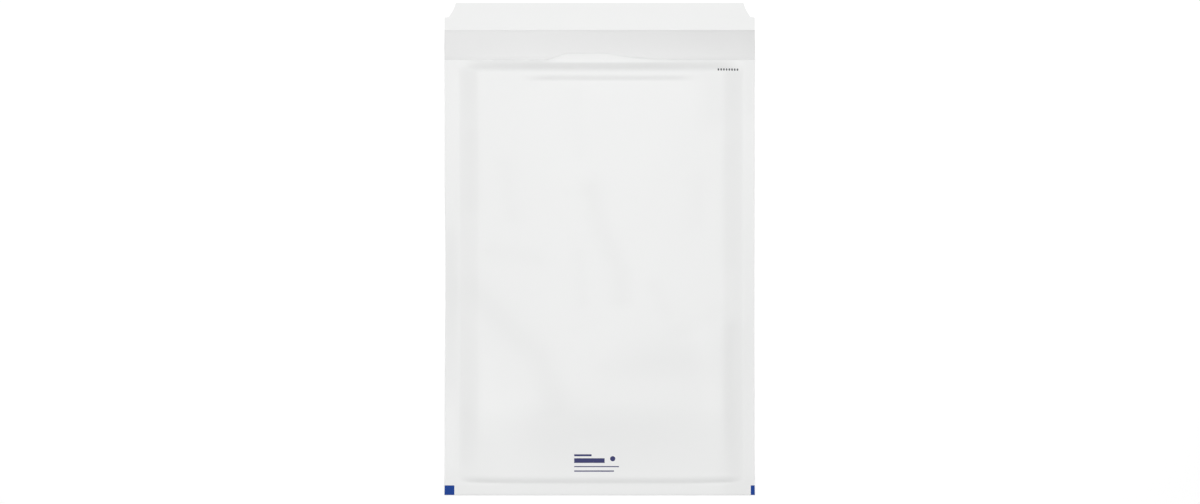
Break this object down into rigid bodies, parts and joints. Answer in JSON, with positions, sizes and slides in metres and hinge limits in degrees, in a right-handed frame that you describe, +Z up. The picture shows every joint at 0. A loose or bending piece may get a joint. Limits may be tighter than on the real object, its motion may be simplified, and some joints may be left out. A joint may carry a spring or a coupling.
{
  "type": "padded envelope",
  "caption": "White paper mailing envelope padded with bubble film, with flat side seams, an open mouth and an unfolded self-seal flap under its release strip.",
  "frame": {"origin": "on the surface that the envelope lies on, under the middle of its outline with the flap open", "axes": "+X across the envelope, +Y from the bottom fold to the tip of the flap, +Z up, out of the front panel"},
  "size_m": [0.25, 0.3964, 0.0148],
  "materials": {
    "paper": "smooth white mailing paper, matte",
    "film": "clear bubble film, soft gloss",
    "glue": "hot-melt glue, slightly glossy",
    "release_paper": "pale grey silicone paper, satin"
  },
  "bodies": {
    "root": {"paper_envelope": "paper", "bubble_liner": "film", "adhesive_strip": "glue", "release_strip": "release_paper"}
  },
  "joints": []
}
